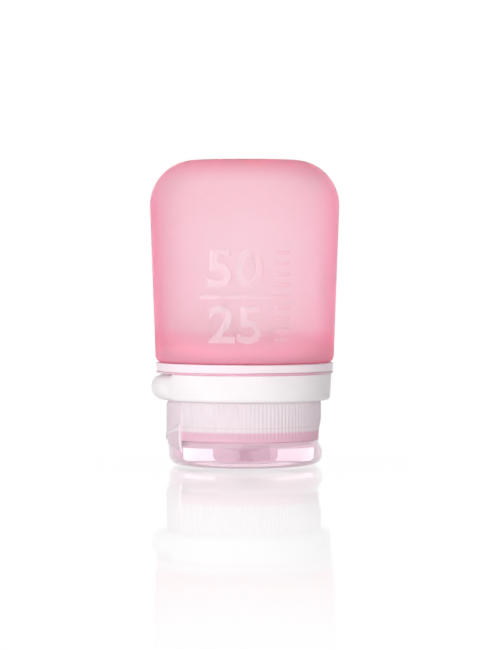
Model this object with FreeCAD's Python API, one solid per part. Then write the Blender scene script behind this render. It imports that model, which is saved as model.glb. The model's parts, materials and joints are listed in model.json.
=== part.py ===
"""A squeezable travel bottle that stands on its flip-top cap, as an assembly of separate pieces.

Millimetres, +Z up. The bottle stands upside down, as it is stored: the origin is the centre of the
flip lid's flat outer face, the cap and its ribs are above that, then the white loop band and collar,
and the soft body is on top. The lid's hinge is on the -X side and its thumb recess on the +X side.
"""

import FreeCAD, Part

import math
import os

from FreeCAD import Vector

mm3_per_ml = 1000

# Clearances and cutting
static_fit = 0.05            # gap between pieces that are assembled once
running_fit = 0.2            # gap between pieces that turn or slide
overrun = 1.0                # how far a cutting shape runs past what it cuts
sunk = 0.3                   # how far an added shape is rooted in what carries it

# Heights of the stack, from the surface upwards
lid_height = 6.2             # flat outer face to the rim
seam_gap = 0.15              # lid rim to cap skirt
cap_height = 9.05            # cap skirt
loop_gap = 0.25              # cap skirt to loop band
loop_height = 6.2            # loop band
loop_play = 0.15             # loop band to the silicone lip
lip_thickness = 0.5          # silicone lip that shows between the loop band and the collar
collar_height = 2.1          # white collar ring
body_height = 48.4           # collar to the body's flat end

# Neck insert, which the other radii are built on
bore_radius = 13.8           # mouth that the bottle is filled through
insert_wall = 1.7            # wall under the screw thread
barrel_wall = 1.85           # wall of the barrel inside the silicone neck
journal_wall = 3.6           # wall of the journal that the loop band turns on
bead_height = 0.4            # snap bead that keeps the loop band on
bead_depth = 0.4
insert_edge = 0.3            # rounding of the insert's edges

# Silicone body
neck_wall = 2.0              # neck between barrel and collar
side_wall = 1.9
base_wall = 2.2              # flat end, on top here
shoulder_wall = 2.2
shoulder_overhang = 0.1      # body past the collar, at the shoulder
body_taper = 2.07            # degrees, wider towards the flat end
base_corner = 10.9           # rounding of the flat end's edge
shoulder_corner = 1.7        # rounding of the shoulder's edge
inner_corner = 1.2

# White collar ring and loop band
collar_wall = 3.5
collar_draft = 0.15          # how much the collar narrows downwards
collar_edge = 0.3
lip_recess = 0.2             # lip inside the collar's lower edge
loop_wall = 3.2
loop_draft = 0.25            # how much the loop band narrows downwards
loop_top_edge = 0.35
loop_low_edge = 1.0
tab_overhang = 1.6           # pull tab's tip past the band
tab_bow_radius = 14.4        # pull tab's outline from above
tab_bow_angle = 64.0         # degrees, each side of its middle
tab_inset = 0.06             # pull tab lower than the band, top and bottom

# Screw thread
thread_pitch = 3.0
thread_depth = 0.85
thread_base = 1.6            # ridge's width at its root
thread_crest = 0.8           # ridge's width at its crest
thread_lead = 0.5            # plain length at both ends of each ridge
cap_ridge_depth = 1.0
cap_ridge_base = 1.2
cap_ridge_crest = 0.6

# Cap
skirt_wall = 1.45
cap_edge = 0.35
deck_recess = 0.6            # deck above the skirt's lower edge
deck_thickness = 1.4
snap_rim_wall = 1.0          # rim that the lid closes over
snap_rim_depth = 1.4         # below the skirt's lower edge
snap_rim_gap = 0.35          # snap rim to the lid's inner wall
rib_height = 0.35
rib_count = 36               # on each side, between the two plain pads
rib_root_share = 0.62        # of the pitch
rib_crest_share = 0.34       # of the pitch
rib_low_margin = 0.85        # plain band under the ribs
rib_top_margin = 0.5         # plain band over the ribs
hinge_pad_angle = 37.0       # degrees each side of -X
hinge_pad_height = 0.55
thumb_pad_angle = 33.0       # degrees each side of +X
thumb_pad_height = 0.12

# Spout, valve and seal
spout_bore = 2.6
spout_wall = 1.6
spout_gap = 1.85             # spout's end to the lid's floor
spout_edge = 0.3
pocket_radius = 6.4          # holds the valve and its retainer
pocket_wall = 1.2
pocket_depth = 2.1
valve_flange = 0.8
valve_bowl_depth = 0.9
valve_skin = 0.6
valve_bowl_gap = 0.3         # bowl to spout bore
valve_bowl_slope = 0.3       # how much the bowl narrows downwards
valve_rounding = 0.25
valve_slit = 0.12
valve_slit_length = 2.6
retainer_height = 1.1
retainer_wall = 2.6
seal_thickness = 0.9
seal_margin = 0.1            # seal past the neck's wall, outside
seal_inner_gap = 0.4         # seal to the pocket's wall

# Flip lid
lid_wall = 1.25
lid_floor = 1.4
lid_corner = 2.4
lid_draft = 0.3              # how much the lid narrows downwards
lid_edge = 0.2               # rounding inside the rim
lid_inner_corner = 1.0
lid_offset = 0.25            # lid towards the thumb side
plug_wall = 0.9
plug_gap = 0.3               # plug to spout bore
plug_overlap = 1.0           # plug inside the spout

# Thumb recess
recess_depth = 0.6           # below the thumb pad
recess_angle = 28.0          # degrees each side of +X, where it runs out
recess_centre = 0.3          # its deepest line over the skirt's lower edge
recess_rise = 5.6            # above the deepest line
recess_fall = 2.9            # below the deepest line
recess_flare = 1.0           # how much shallower it is at its top and bottom

# Snap hinge
hinge_rise = 0.45            # fold line over the skirt's lower edge
film_thickness = 0.24
film_half_width = 1.8
film_reach = 0.75            # above and below the fold line
film_gap = 0.1               # moulded groove round the wings
wing_thickness = 0.8
wing_tip = 0.1               # half of a wing's height at its tip
wing_proud = 0.15            # lower edge past the lid's wall
wing_reach = 9.8             # free edge from the middle
wing_rise = 2.8              # free edge above the fold line
wing_fall = 1.9              # free edge below the fold line
lug_depth = 0.9              # lid's hinge lug, downwards from the rim
lug_recess = 0.25            # lug inside the hinge pad's radius

# Heights, worked out
z_lid_rim = lid_height
z_cap_low = z_lid_rim + seam_gap
z_cap_top = z_cap_low + cap_height
z_loop_low = z_cap_top + loop_gap
z_loop_top = z_loop_low + loop_height
z_lip_low = z_loop_top + loop_play
z_lip_top = z_lip_low + lip_thickness
z_collar_top = z_lip_top + collar_height
z_body_top = z_collar_top + body_height
z_cavity_low = z_collar_top + shoulder_wall
z_cavity_top = z_body_top - base_wall
z_deck_low = z_cap_low + deck_recess
z_deck_top = z_deck_low + deck_thickness
z_neck_end = z_deck_top + seal_thickness
z_spout_low = lid_floor + spout_gap
z_fold = z_cap_low + hinge_rise
z_thread = z_neck_end + thread_lead + thread_base / 2
z_cap_thread = z_neck_end + thread_lead + cap_ridge_base / 2

# Radii, worked out
thread_root = bore_radius + insert_wall
barrel_radius = bore_radius + barrel_wall
journal_radius = bore_radius + journal_wall
bead_radius = journal_radius + bead_depth
neck_inner = barrel_radius + static_fit
neck_outer = neck_inner + neck_wall
collar_inner = neck_outer + static_fit
collar_radius = collar_inner + collar_wall
lip_radius = collar_radius - lip_recess
body_radius_low = collar_radius + shoulder_overhang
body_radius_top = body_radius_low + body_height * math.tan(math.radians(body_taper))
loop_inner = journal_radius + running_fit
loop_radius = loop_inner + loop_wall
tab_reach = loop_radius + tab_overhang
thread_tip = thread_root + thread_depth
skirt_inner = thread_tip + 2 * running_fit
skirt_radius = skirt_inner + skirt_wall
rib_radius = skirt_radius + rib_height
hinge_pad_radius = skirt_radius + hinge_pad_height
thumb_pad_radius = skirt_radius + thumb_pad_height
lid_radius = rib_radius
lid_inner = lid_radius - lid_wall
snap_rim_radius = lid_inner - lid_offset - snap_rim_gap
spout_radius = spout_bore + spout_wall
pocket_outer = pocket_radius + pocket_wall
film_inner = hinge_pad_radius + static_fit
fold_radius = film_inner + film_thickness / 2
wing_radius_top = hinge_pad_radius - static_fit
wing_radius_low = lid_radius - lid_offset + wing_proud


def rounded_wire(corners):
    """A closed wire in the XZ plane through (r, z, rounding) corners, with a tangent arc at each rounding."""
    points = [Vector(r, 0, z) for r, z, _ in corners]
    starts, ends, arcs = [], [], []
    for i, corner in enumerate(points):
        rounding = corners[i][2]
        before = (points[i - 1] - corner).normalize()
        after = (points[(i + 1) % len(points)] - corner).normalize()
        if rounding == 0:
            starts.append(corner)
            ends.append(corner)
            arcs.append(None)
            continue
        half = before.getAngle(after) / 2
        along = rounding / math.tan(half)
        middle = corner + (before + after).normalize() * (rounding / math.sin(half) - rounding)
        starts.append(corner + before * along)
        ends.append(corner + after * along)
        arcs.append(middle)
    edges = []
    for i, middle in enumerate(arcs):
        if middle is not None:
            edges.append(Part.Arc(starts[i], middle, ends[i]).toShape())
        following = starts[(i + 1) % len(starts)]
        edges.append(Part.LineSegment(ends[i], following).toShape())
    return Part.Wire(edges)


def turned(corners, axis_x=0.0):
    """A solid of revolution about the vertical line at x = axis_x."""
    face = Part.Face(rounded_wire(corners))
    face.translate(Vector(axis_x, 0, 0))
    return face.revolve(Vector(axis_x, 0, 0), Vector(0, 0, 1), 360)


def tube(inner, outer, low, high):
    """A plain ring about the Z axis."""
    return turned([(inner, low, 0), (outer, low, 0), (outer, high, 0), (inner, high, 0)])


def at_angle(radius, degrees, z):
    """The point at that radius and angle about the Z axis."""
    angle = math.radians(degrees)
    return Vector(radius * math.cos(angle), radius * math.sin(angle), z)


def pad(inner, outer, middle, half_angle, low, high):
    """A block that follows the cap's wall, centred on an angle."""
    ring = tube(inner, outer, low, high)
    reach = outer / math.cos(math.radians(half_angle)) + overrun
    wedge = Part.makePolygon([
        Vector(0, 0, low),
        at_angle(reach, middle - half_angle, low),
        at_angle(reach / math.cos(math.radians(half_angle)), middle, low),
        at_angle(reach, middle + half_angle, low),
        Vector(0, 0, low),
    ])
    return ring.common(Part.Face(wedge).extrude(Vector(0, 0, high - low)))


def thread_ridge(root, tip, base, crest, z_low, z_high, z_in_phase):
    """A helical ridge from root to tip radius, rooted in its wall, that crosses +X at z_in_phase."""
    outward = 1 if tip > root else -1
    buried = root - outward * sunk
    slope = (base - crest) / 2 / abs(tip - root)
    buried_half = base / 2 + slope * sunk
    section = Part.makePolygon([
        Vector(buried, 0, -buried_half),
        Vector(tip, 0, -crest / 2),
        Vector(tip, 0, crest / 2),
        Vector(buried, 0, buried_half),
        Vector(buried, 0, -buried_half),
    ])
    helix = Part.makeHelix(thread_pitch, z_high - z_low, root)
    ridge = Part.Wire(helix.Edges).makePipeShell([section], True, True)
    ridge.rotate(Vector(0, 0, 0), Vector(0, 0, 1), 360 * (z_low - z_in_phase) / thread_pitch)
    ridge.translate(Vector(0, 0, z_low))
    return ridge


def silicone_body():
    """The soft squeeze body, with its neck and the lip that the collar clamps."""
    slope = math.tan(math.radians(body_taper))
    inner_low = body_radius_low + shoulder_wall * slope - side_wall
    inner_top = body_radius_top - base_wall * slope - side_wall
    return turned([
        (0, z_body_top, 0),
        (0, z_cavity_top, 0),
        (inner_top, z_cavity_top, base_corner - side_wall),
        (inner_low, z_cavity_low, inner_corner),
        (neck_inner, z_cavity_low, 0),
        (neck_inner, z_lip_low, 0),
        (lip_radius, z_lip_low, 0),
        (lip_radius, z_lip_top, 0),
        (neck_outer, z_lip_top, 0),
        (neck_outer, z_collar_top, 0),
        (body_radius_low, z_collar_top, shoulder_corner),
        (body_radius_top, z_body_top, base_corner),
    ])


def collar_ring():
    """The hard white ring that clamps the silicone neck on the insert's barrel."""
    return turned([
        (collar_inner, z_lip_top, 0),
        (collar_radius - collar_draft, z_lip_top, collar_edge),
        (collar_radius, z_collar_top, collar_edge),
        (collar_inner, z_collar_top, 0),
    ])


def neck_insert():
    """The hard neck: barrel in the silicone, journal for the loop band, and the screw thread."""
    sleeve = turned([
        (bore_radius, z_neck_end, insert_edge),
        (thread_root, z_neck_end, insert_edge),
        (thread_root, z_loop_low, 0),
        (bead_radius, z_loop_low, bead_height / 4),
        (bead_radius, z_loop_low + bead_height, bead_height / 4),
        (journal_radius, z_loop_low + bead_height, 0),
        (journal_radius, z_lip_low, 0),
        (barrel_radius, z_lip_low, 0),
        (barrel_radius, z_cavity_low, insert_edge),
        (bore_radius, z_cavity_low, insert_edge),
    ])
    z_thread_end = z_loop_low - thread_lead - thread_base / 2
    ridge = thread_ridge(
        thread_root, thread_tip, thread_base, thread_crest, z_thread, z_thread_end, z_thread)
    return sleeve.fuse(ridge)


def loop_band():
    """The soft white band round the neck, with its rounded pull tab on the -X side."""
    rebate_radius = bead_radius + running_fit
    rebate_top = z_loop_low + bead_height + running_fit
    band = turned([
        (rebate_radius, z_loop_low, 0),
        (loop_radius - loop_draft, z_loop_low, loop_low_edge),
        (loop_radius, z_loop_top, loop_top_edge),
        (loop_inner, z_loop_top, 0),
        (loop_inner, rebate_top, 0),
        (rebate_radius, rebate_top, 0),
    ])
    tab_round = loop_height / 2 - tab_inset
    bow_axis = tab_bow_radius - tab_reach
    middle = z_loop_low + loop_height / 2
    section = Part.Face(Part.Wire(Part.makeCircle(
        tab_round, Vector(bow_axis - tab_bow_radius + tab_round, 0, middle), Vector(0, 1, 0))))
    section.rotate(Vector(bow_axis, 0, 0), Vector(0, 0, 1), -tab_bow_angle)
    bow = section.revolve(Vector(bow_axis, 0, 0), Vector(0, 0, 1), 2 * tab_bow_angle)
    bow = bow.cut(Part.makeCylinder(
        rebate_radius + running_fit, loop_height + 2 * overrun, Vector(0, 0, z_loop_low - overrun)))
    return band.fuse(bow)


def grip_ribs():
    """The cap's fine upright ribs, on both sides between the hinge pad and the thumb pad."""
    span = 180.0 - hinge_pad_angle - thumb_pad_angle
    pitch = span / rib_count
    low, high = z_cap_low + rib_low_margin, z_cap_top - rib_top_margin
    ribs = []
    for side in (1, -1):
        for i in range(rib_count):
            middle = side * (thumb_pad_angle + (i + 0.5) * pitch)
            root, crest = pitch * rib_root_share / 2, pitch * rib_crest_share / 2
            section = Part.makePolygon([
                at_angle(skirt_radius - sunk, middle - root, low),
                at_angle(rib_radius, middle - crest, low),
                at_angle(rib_radius, middle + crest, low),
                at_angle(skirt_radius - sunk, middle + root, low),
                at_angle(skirt_radius - sunk, middle - root, low),
            ])
            ribs.append(Part.Face(section).extrude(Vector(0, 0, high - low)))
    return ribs


def flare_arc(inner, deepest, reach):
    """One half of the recess's section: an arc from its deepest line to its end, reach above or below."""
    radius = (reach ** 2 + recess_flare ** 2) / (2 * recess_flare)
    half = math.atan2(abs(reach), radius - recess_flare) / 2
    rise = math.copysign(radius * math.sin(half), reach)
    return Part.Arc(
        Vector(inner, 0, deepest),
        Vector(inner + radius * (1 - math.cos(half)), 0, deepest + rise),
        Vector(inner + recess_flare, 0, deepest + reach)).toShape()


def thumb_recess():
    """The cutter for the shallow scallop that lets a thumb lift the lid."""
    angle = math.radians(recess_angle)
    floor = thumb_pad_radius - recess_depth
    meets = Vector(thumb_pad_radius * math.cos(angle), thumb_pad_radius * math.sin(angle), 0)
    # The floor is a larger circle that meets the pad's circle at the two ends of the recess.
    back = (meets.x ** 2 + meets.y ** 2 - floor ** 2) / (2 * (floor - meets.x))
    deepest = z_cap_low + recess_centre
    low, high = deepest - recess_fall, deepest + recess_rise
    outer = floor + back + recess_flare + overrun
    inner = floor + back
    arcs = [flare_arc(inner, deepest, recess_rise), flare_arc(inner, deepest, -recess_fall)]
    rest = [
        Vector(inner + recess_flare, 0, high), Vector(outer, 0, high),
        Vector(outer, 0, low), Vector(inner + recess_flare, 0, low)]
    sides = [Part.LineSegment(a, b).toShape() for a, b in zip(rest, rest[1:])]
    face = Part.Face(Part.Wire(Part.__sortEdges__(arcs + sides)))
    face.translate(Vector(-back, 0, 0))
    axis = Vector(-back, 0, 0)
    face.rotate(axis, Vector(0, 0, 1), -recess_angle)
    return face.revolve(axis, Vector(0, 0, 1), 2 * recess_angle)


def wing_ring(inward, outward):
    """A sloping ring in the walls of cap and lid, reaching in and out from the wings' outer face."""
    slope = (wing_radius_top - wing_radius_low) / (wing_rise + wing_fall)
    low, high = z_fold - wing_fall - overrun, z_fold + wing_rise + overrun
    radius_low, radius_high = wing_radius_low - slope * overrun, wing_radius_top + slope * overrun
    return turned([
        (radius_low - inward, low, 0),
        (radius_low + outward, low, 0),
        (radius_high + outward, high, 0),
        (radius_high - inward, high, 0),
    ])


def wing_prism(side, growth):
    """A hinge wing's outline, grown by the groove round it and carried through the wall on the -X side."""
    near = side * (film_half_width - growth)
    far = side * (wing_reach + growth)
    outline = Part.makePolygon([
        Vector(0, near, z_fold + wing_tip + growth),
        Vector(0, far, z_fold + wing_rise + growth),
        Vector(0, far, z_fold - wing_fall - growth),
        Vector(0, near, z_fold - wing_tip - growth),
        Vector(0, near, z_fold + wing_tip + growth),
    ])
    return Part.Face(outline).extrude(Vector(-fold_radius - 2 * overrun, 0, 0))


def hinge_wings():
    """The two triangular plates of the snap hinge, which spring over as the lid opens."""
    ring = wing_ring(wing_thickness, 0)
    return Part.makeCompound([wing_prism(side, 0).common(ring) for side in (1, -1)])


def hinge_notch():
    """The cutter for the shallow beds that the wings have in the cap's and the lid's walls."""
    ring = wing_ring(wing_thickness + film_gap, overrun)
    beds = [wing_prism(side, film_gap).common(ring) for side in (1, -1)]
    return beds[0].fuse(beds[1])


def hinge_film():
    """The thin strap on the fold line, which joins the cap to the lid's lug."""
    return Part.makeBox(
        film_thickness, 2 * film_half_width, 2 * film_reach,
        Vector(-film_inner - film_thickness, -film_half_width, z_fold - film_reach))


def cap_base():
    """The ribbed screw cap: skirt, deck, spout and snap rim in one moulding."""
    rim_inner = snap_rim_radius - snap_rim_wall
    z_rim_low = z_cap_low - snap_rim_depth
    z_pocket_top = z_deck_top + pocket_depth
    core = turned([
        (spout_bore, z_spout_low, 0),
        (spout_radius, z_spout_low, spout_edge),
        (spout_radius, z_deck_low, spout_edge),
        (rim_inner, z_deck_low, spout_edge),
        (rim_inner, z_rim_low, 0),
        (snap_rim_radius, z_rim_low, snap_rim_wall / 3),
        (snap_rim_radius, z_cap_low, 0),
        (skirt_radius, z_cap_low, cap_edge / 2),
        (skirt_radius, z_cap_top, cap_edge),
        (skirt_inner, z_cap_top, cap_edge),
        (skirt_inner, z_deck_top, cap_edge),
        (pocket_outer, z_deck_top, cap_edge),
        (pocket_outer, z_pocket_top, cap_edge / 2),
        (pocket_radius, z_pocket_top, 0),
        (pocket_radius, z_deck_top, 0),
        (spout_bore, z_deck_top, 0),
    ])
    rooted = skirt_radius - sunk
    pads = [
        pad(rooted, hinge_pad_radius, 180.0, hinge_pad_angle, z_cap_low, z_cap_top - rib_top_margin),
        pad(rooted, thumb_pad_radius, 0.0, thumb_pad_angle, z_cap_low, z_cap_top - rib_top_margin),
    ]
    z_thread_end = z_cap_top - thread_lead - cap_ridge_base / 2
    ridge = thread_ridge(
        skirt_inner, skirt_inner - cap_ridge_depth, cap_ridge_base, cap_ridge_crest,
        z_cap_thread, z_thread_end, z_thread + thread_pitch / 2)
    cap = core.multiFuse(pads + grip_ribs() + [ridge])
    return cap.cut(thumb_recess()).cut(hinge_notch())


def drip_valve():
    """The silicone valve: a flange, a bowl in the spout, and a cross slit that opens when squeezed."""
    bowl = spout_bore - valve_bowl_gap
    z_bowl = z_deck_top - valve_bowl_depth
    disc = turned([
        (0, z_bowl, 0),
        (bowl - valve_bowl_slope, z_bowl, valve_rounding),
        (bowl, z_deck_top, 0),
        (pocket_radius - static_fit, z_deck_top, 0),
        (pocket_radius - static_fit, z_deck_top + valve_flange, 0),
        (bowl - valve_skin, z_deck_top + valve_flange, valve_rounding),
        (bowl - valve_bowl_slope - valve_skin, z_bowl + valve_skin, valve_rounding),
        (0, z_bowl + valve_skin, 0),
    ])
    for angle in (0, 90):
        slit = Part.makeBox(
            valve_slit_length, valve_slit, valve_skin + 2 * overrun,
            Vector(-valve_slit_length / 2, -valve_slit / 2, z_bowl - overrun))
        slit.rotate(Vector(0, 0, 0), Vector(0, 0, 1), angle)
        disc = disc.cut(slit)
    return disc


def valve_retainer():
    """The ring that snaps into the pocket and holds the valve's flange down."""
    outer = pocket_radius - static_fit
    low = z_deck_top + valve_flange
    return turned([
        (outer - retainer_wall, low, insert_edge),
        (outer, low, 0),
        (outer, low + retainer_height, insert_edge),
        (outer - retainer_wall, low + retainer_height, insert_edge),
    ])


def cap_seal():
    """The flat silicone seal between the cap's deck and the neck's end."""
    return tube(pocket_outer + seal_inner_gap, thread_root + seal_margin, z_deck_top, z_neck_end)


def flip_lid():
    """The clear lid: a shallow cup with the plug that stops the spout, and the lug of its hinge."""
    plug_radius = spout_bore - plug_gap
    cup = turned([
        (0, 0, 0),
        (lid_radius - lid_draft, 0, lid_corner),
        (lid_radius, z_lid_rim, 0),
        (lid_inner, z_lid_rim, lid_edge),
        (lid_inner - lid_draft, lid_floor, lid_inner_corner),
        (0, lid_floor, 0),
    ], lid_offset)
    plug = turned([
        (plug_radius - plug_wall, lid_floor - sunk, 0),
        (plug_radius, lid_floor - sunk, 0),
        (plug_radius, z_spout_low + plug_overlap, plug_wall / 3),
        (plug_radius - plug_wall, z_spout_low + plug_overlap, 0),
    ])
    lug_radius = hinge_pad_radius - lug_recess
    lug_angle = math.degrees(math.asin(film_half_width / lug_radius))
    lug = pad(
        lid_inner + lid_wall / 2, lug_radius, 180.0, lug_angle, z_lid_rim - lug_depth, z_lid_rim)
    cup = cup.cut(thumb_recess()).cut(hinge_notch())
    return cup.multiFuse([plug, lug])


def capacity():
    """Millilitres that the body holds, and that the neck holds down to its end."""
    slope = math.tan(math.radians(body_taper))
    inner_low = body_radius_low + shoulder_wall * slope - side_wall
    inner_top = body_radius_top - base_wall * slope - side_wall
    cavity = turned([
        (0, z_cavity_low, 0),
        (inner_low, z_cavity_low, inner_corner),
        (inner_top, z_cavity_top, base_corner - side_wall),
        (0, z_cavity_top, 0),
    ])
    neck = Part.makeCylinder(bore_radius, z_cavity_low - z_neck_end)
    return cavity.Volume / mm3_per_ml, neck.Volume / mm3_per_ml


def main():
    """Builds every piece and writes one STEP file for each."""
    os.makedirs("parts", exist_ok=True)
    pieces = [
        silicone_body, collar_ring, neck_insert, loop_band, cap_base, drip_valve,
        valve_retainer, cap_seal, flip_lid, hinge_wings, hinge_film]
    for piece in pieces:
        shape = piece()
        shape.exportStep(os.path.join("parts", piece.__name__ + ".step"))
        solids = len(shape.Solids)
        print(f"{piece.__name__}: {solids} solid(s), {shape.Volume:.1f} mm3, valid {shape.isValid()}")
    body_ml, neck_ml = capacity()
    print(f"height {z_body_top:.2f} mm, collar radius {collar_radius:.2f} mm")
    print(f"the body holds {body_ml:.1f} ml and the neck {neck_ml:.1f} ml")
    print(f"the lid folds on the line x {-fold_radius:.3f} mm, z {z_fold:.3f} mm")


main()
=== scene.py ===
# %% [markdown]
# # A travel squeeze bottle in soft silicone
# The bottle stands upside down on its flip-top cap. Its frame comes from a CAD model: every piece is
# already at its real size and place, and knows how it moves. Here we make what the eye sees: soft
# translucent walls, moulded ribs, a clear lid and a hinge. We work in metres, as the frame
# does, and write sizes as millimetres times MM.

# %% Load the frame
import json
import math

import bpy
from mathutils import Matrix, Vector


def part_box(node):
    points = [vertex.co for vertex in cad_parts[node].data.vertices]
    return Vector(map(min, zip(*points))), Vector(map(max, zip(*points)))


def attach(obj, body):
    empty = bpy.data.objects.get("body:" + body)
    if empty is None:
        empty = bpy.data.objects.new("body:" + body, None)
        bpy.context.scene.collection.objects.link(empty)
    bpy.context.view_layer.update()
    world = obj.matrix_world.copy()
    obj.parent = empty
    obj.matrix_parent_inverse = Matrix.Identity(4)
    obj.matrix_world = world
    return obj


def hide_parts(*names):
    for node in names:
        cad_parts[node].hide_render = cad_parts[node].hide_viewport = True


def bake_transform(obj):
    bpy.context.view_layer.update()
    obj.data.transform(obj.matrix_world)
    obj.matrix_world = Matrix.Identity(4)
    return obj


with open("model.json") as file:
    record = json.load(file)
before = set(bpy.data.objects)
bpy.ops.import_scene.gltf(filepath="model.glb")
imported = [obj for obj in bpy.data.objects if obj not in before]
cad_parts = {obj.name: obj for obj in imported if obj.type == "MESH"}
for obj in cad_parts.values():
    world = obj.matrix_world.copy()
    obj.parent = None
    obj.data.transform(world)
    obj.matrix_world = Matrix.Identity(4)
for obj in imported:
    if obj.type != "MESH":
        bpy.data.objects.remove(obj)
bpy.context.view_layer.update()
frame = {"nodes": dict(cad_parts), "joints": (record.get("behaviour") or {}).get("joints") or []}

MM = 0.001

# %% [markdown]
# ## Two tools that we use again and again
# Almost every piece of a bottle is round, so it could be built from a cylinder and many loop cuts, or by
# extruding a circle ring by ring. Drawing half of its section as a line and spinning that line about the
# axis is closer to how the mould is turned, and one corner of the drawing is one edge of the piece.
# Corners are written as (radius, height, rounding), and each rounding becomes an arc.

# %% A drawn section with rounded corners
ARC_TOLERANCE = 0.008 * MM


def rounded_section(corners):
    """The points of a section drawn in the XZ plane, with an arc at every corner that has a rounding."""
    spots = [Vector((radius, 0, height)) for radius, height, _ in corners]
    drawn = []
    for i, corner in enumerate(spots):
        rounding = corners[i][2]
        if rounding == 0:
            drawn.append(corner)
            continue
        before = (spots[i - 1] - corner).normalized()
        after = (spots[(i + 1) % len(spots)] - corner).normalized()
        half = before.angle(after) / 2
        centre = corner + (before + after).normalized() * (rounding / math.sin(half))
        first = corner + before * (rounding / math.tan(half)) - centre
        turn = before.cross(after).y
        sweep = math.copysign(math.pi - 2 * half, turn)
        step = 2 * math.acos(1 - ARC_TOLERANCE / max(rounding, 2 * ARC_TOLERANCE))
        pieces = max(2, math.ceil(abs(sweep) / step))
        for k in range(pieces + 1):
            angle = sweep * k / pieces
            drawn.append(centre + Vector((
                first.x * math.cos(angle) - first.z * math.sin(angle), 0,
                first.x * math.sin(angle) + first.z * math.cos(angle))))
    return drawn


def split_run(start, end, count):
    """Corners with no rounding that divide a straight run of a section, so that it can be shaped later."""
    return [(start[0] + (end[0] - start[0]) * k / count, start[1] + (end[1] - start[1]) * k / count, 0)
            for k in range(1, count)]


print("arcs keep within", ARC_TOLERANCE / MM, "mm of their circle")

# %% The lathe
WELD = 0.002 * MM
ROUND_STEPS = 160


def full_turn(steps=ROUND_STEPS):
    """One sector that goes all the way round, in that many steps."""
    return ((360.0, steps),)


def turn_on_lathe(name, corners, sectors=full_turn(), axis_x=0.0):
    """Draws half a section by extruding one vertex, then spins it about the upright line at axis_x."""
    path = rounded_section(corners)
    if corners[0][0] > 0:
        path.append(path[0])
    bpy.ops.object.select_all(action="DESELECT")
    bpy.ops.mesh.primitive_plane_add(size=MM)
    piece = bpy.context.object
    piece.name = name
    bpy.ops.object.mode_set(mode="EDIT")
    bpy.ops.mesh.merge(type="CENTER")
    bpy.ops.transform.translate(value=path[0] + Vector((axis_x, 0, 0)))
    for here, there in zip(path, path[1:]):
        bpy.ops.mesh.extrude_region_move(TRANSFORM_OT_translate={"value": there - here})
    bpy.ops.mesh.select_all(action="SELECT")
    for degrees, steps in sectors:
        bpy.ops.mesh.spin(
            steps=steps, angle=math.radians(degrees), center=(axis_x, 0, 0), axis=(0, 0, 1))
    bpy.ops.mesh.select_all(action="SELECT")
    bpy.ops.mesh.remove_doubles(threshold=WELD)
    bpy.ops.mesh.normals_make_consistent(inside=False)
    bpy.ops.object.mode_set(mode="OBJECT")
    print(name, "turned:", len(piece.data.vertices), "vertices")
    return piece


print("the lathe welds points closer than", WELD / MM, "mm")

# %% Helpers for a piece that is in work
def select_only(piece):
    """Makes the piece the only selected object, as operators need it."""
    bpy.ops.object.select_all(action="DESELECT")
    piece.select_set(True)
    bpy.context.view_layer.objects.active = piece


def apply_modifier(piece, kind, **settings):
    """Adds a modifier to the piece, sets it up and applies it."""
    select_only(piece)
    modifier = piece.modifiers.new(kind.title(), kind)
    for key, value in settings.items():
        setattr(modifier, key, value)
    bpy.ops.object.modifier_apply(modifier=modifier.name)


def shape_wall(piece, radius_at, axis_x=0.0):
    """Moves a turned piece's points in or out to radius_at(radius, angle in degrees, height)."""
    for vertex in piece.data.vertices:
        x, y = vertex.co.x - axis_x, vertex.co.y
        radius = math.hypot(x, y)
        if radius < WELD:
            continue
        grown = radius_at(radius, math.degrees(math.atan2(y, x)), vertex.co.z) / radius
        vertex.co.x, vertex.co.y = axis_x + x * grown, y * grown


def ease(value, start, end):
    """Goes smoothly from 0 at start to 1 at end."""
    share = min(max((value - start) / (end - start), 0.0), 1.0)
    return share * share * (3 - 2 * share)


print("half-way, an eased value is", ease(0.5, 0.0, 1.0))

# %% Helpers for a piece that is done
SHARP_ANGLE, SOFT_ANGLE = 32.0, 40.0


def smooth_faces(piece, degrees=SHARP_ANGLE):
    """Shades the piece smooth, except over edges sharper than the angle."""
    select_only(piece)
    bpy.ops.object.shade_smooth_by_angle(angle=math.radians(degrees))


def settle(piece, body, slot, finish, *nodes):
    """Gives a finished piece its material and its body, and hides the CAD nodes that it stands for. The
    slot is not used.
    """
    piece.data.materials.clear()
    piece.data.materials.append(finish)
    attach(piece, body)
    if nodes:
        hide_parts(*nodes)


print("edges stay sharp from", SHARP_ANGLE, "degrees, on soft pieces from", SOFT_ANGLE)

# %% [markdown]
# ## Finishes
# A moulded surface is never one flat colour: it has a fine texture from the mould, places that are a
# little glossier, and cloudy depth. All of that can come from noise in Object coordinates, so nothing is
# painted and the pattern stays put when the piece moves. What is the same all over, such as how much
# light goes through, is set on the shader itself.

# %% Small helpers for material nodes
def shader_of(finish):
    """The Principled shader of a finish."""
    return finish.node_tree.nodes["Principled BSDF"]


def new_finish(name):
    """A material with a Principled shader, ready for its nodes."""
    finish = bpy.data.materials.new(name)
    finish.use_nodes = True
    return finish, finish.node_tree, shader_of(finish)


def add_node(tree, kind, inputs=None, **settings):
    """Adds a node to the tree and sets its properties and inputs."""
    made = tree.nodes.new(kind)
    for key, value in settings.items():
        setattr(made, key, value)
    for key, value in (inputs or {}).items():
        made.inputs[key].default_value = value
    return made


def object_noise(tree, scale, detail=3.0):
    """Noise in Object coordinates, with that many cells in a metre."""
    place = add_node(tree, "ShaderNodeTexCoord")
    noise = add_node(tree, "ShaderNodeTexNoise", {"Scale": scale, "Detail": detail})
    tree.links.new(place.outputs["Object"], noise.inputs["Vector"])
    return noise.outputs["Fac"]


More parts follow.
